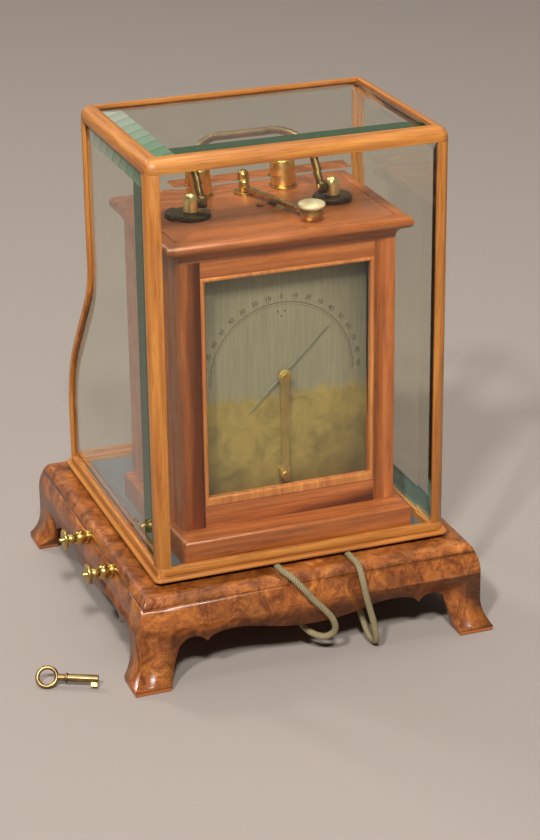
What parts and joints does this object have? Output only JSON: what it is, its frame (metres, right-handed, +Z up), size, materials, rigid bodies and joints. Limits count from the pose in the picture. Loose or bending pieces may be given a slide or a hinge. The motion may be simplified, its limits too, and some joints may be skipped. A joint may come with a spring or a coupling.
{
  "type": "galvanometer",
  "caption": "Cased needle galvanometer: upright dial instrument under a glazed lift-off cover on a bracket base, with cloth leads, binding posts and a loose key.",
  "frame": {"origin": "on the supporting surface, under the middle of the base and of the cover's foot; the loose key at the left is not counted", "axes": "+X to the right seen from the dial side, +Y to the back, +Z up"},
  "size_m": [0.3211, 0.2695, 0.361],
  "materials": {
    "base_veneer": "polished burr veneer",
    "base_sole": "dark, unpolished",
    "floor_cloth": "dark blue cloth over wood",
    "cover_wood": "polished golden wood",
    "plate_glass": "polished, bevelled",
    "dial_glass": "polished",
    "mahogany": "polished mahogany",
    "dial_bead": "polished",
    "silvered_brass": "silvered, worn at the foot",
    "brass": "lacquered",
    "handle_brass": "lacquered, worn",
    "dark_lacquer": "black lacquer, glossy",
    "drum_brass": "lacquered, tarnished",
    "post_brass": "polished",
    "nut_metal": "silvered, worn",
    "lever_brass": "tarnished",
    "ivory": "turned ivory or bone, stood in for by plastic",
    "steel": "plain",
    "needle_steel": "blued",
    "magnet_steel": "hardened, dark",
    "bobbin_wood": "plain",
    "covered_wire": "silk-covered copper wire",
    "woven_cord": "woven cover",
    "key_steel": "worn, brown"
  },
  "bodies": {
    "base": {"base_deck": "base_veneer", "base_apron_front": "base_veneer", "base_apron_rear": "base_veneer", "base_apron_left": "base_veneer", "base_apron_right": "base_veneer", "base_foot_soles": "base_sole", "floor_panel": "floor_cloth", "lead_cord_left": "woven_cord", "lead_cord_right": "woven_cord", "lead_bushes": "brass", "binding_post_front": "post_brass", "binding_post_rear": "post_brass", "instrument_board": "mahogany", "carcass_sides": "mahogany", "carcass_back": "mahogany", "front_frame": "mahogany", "carcass_top": "mahogany", "dial_bead": "dial_bead", "dial_glass": "dial_glass", "dial_plate": "silvered_brass", "bridge_cock": "brass", "cock_screws": "steel", "rear_bridge": "brass", "coil_formers": "bobbin_wood", "coil_windings": "covered_wire", "handle_plates": "dark_lacquer", "terminal_studs": "brass", "lever_seat": "brass", "contact_studs": "lever_brass", "lock_case": "brass"},
    "cover": {"cover_post_front_left": "cover_wood", "cover_post_front_right": "cover_wood", "cover_post_rear_left": "cover_wood", "cover_post_rear_right": "cover_wood", "cover_top_rail_front": "cover_wood", "cover_top_rail_rear": "cover_wood", "cover_top_rail_left": "cover_wood", "cover_top_rail_right": "cover_wood", "cover_bottom_rail_front": "cover_wood", "cover_bottom_rail_rear": "cover_wood", "cover_bottom_rail_left": "cover_wood", "cover_bottom_rail_right": "cover_wood", "pane_front": "plate_glass", "pane_top": "plate_glass", "pane_left": "plate_glass", "pane_right": "plate_glass", "pane_rear": "plate_glass", "cover_staple": "steel"},
    "lock_bolt": {"lock_bolt": "steel"},
    "needle": {"needle": "needle_steel", "needle_arbor": "steel", "needle_magnet": "magnet_steel"},
    "handle": {"handle_bail": "handle_brass"},
    "lever": {"contact_lever": "lever_brass", "lever_knob": "ivory"},
    "nut_front": {"thumb_nut_front": "nut_metal"},
    "nut_rear": {"thumb_nut_rear": "nut_metal"},
    "drum_left": {"terminal_drum_left": "drum_brass"},
    "drum_right": {"terminal_drum_right": "drum_brass"},
    "key": {"case_key": "key_steel"}
  },
  "joints": [
    {"name": "cover_lift", "type": "slide", "parent": "base", "child": "cover", "axis": [0, 0, 1], "range_m": [0, 0.3]},
    {"name": "bolt_throw", "type": "slide", "parent": "base", "child": "lock_bolt", "axis": [-1, 0, 0], "range_m": [0, 0.008]},
    {"name": "needle_swing", "type": "hinge", "parent": "base", "child": "needle", "pos_m": [0.0008, -0.06, 0.188], "axis": [0, 1, 0], "range_deg": [-135.8, 44.2]},
    {"name": "handle_swing", "type": "hinge", "parent": "base", "child": "handle", "pos_m": [0.0008, -0.03, 0.3056], "axis": [1, 0, 0], "range_deg": [-22, 107]},
    {"name": "lever_turn", "type": "hinge", "parent": "base", "child": "lever", "pos_m": [0.0008, 0.006, 0.3], "axis": [0, 0, 1], "range_deg": [-21, 3]},
    {"name": "nut_front_turn", "type": "hinge", "parent": "base", "child": "nut_front", "pos_m": [-0.14, -0.0564, 0.0572], "axis": [-1, 0, 0], "continuous": true},
    {"name": "nut_rear_turn", "type": "hinge", "parent": "base", "child": "nut_rear", "pos_m": [-0.14, 0.002, 0.0572], "axis": [-1, 0, 0], "continuous": true},
    {"name": "drum_left_turn", "type": "hinge", "parent": "base", "child": "drum_left", "pos_m": [-0.0302, 0.012, 0.3], "axis": [0, 0, 1], "continuous": true},
    {"name": "drum_right_turn", "type": "hinge", "parent": "base", "child": "drum_right", "pos_m": [0.0318, 0.012, 0.3], "axis": [0, 0, 1], "continuous": true},
    {"name": "key_lift", "type": "slide", "parent": "base", "child": "key", "axis": [0, 0, 1], "range_m": [0, 0.3]}
  ]
}
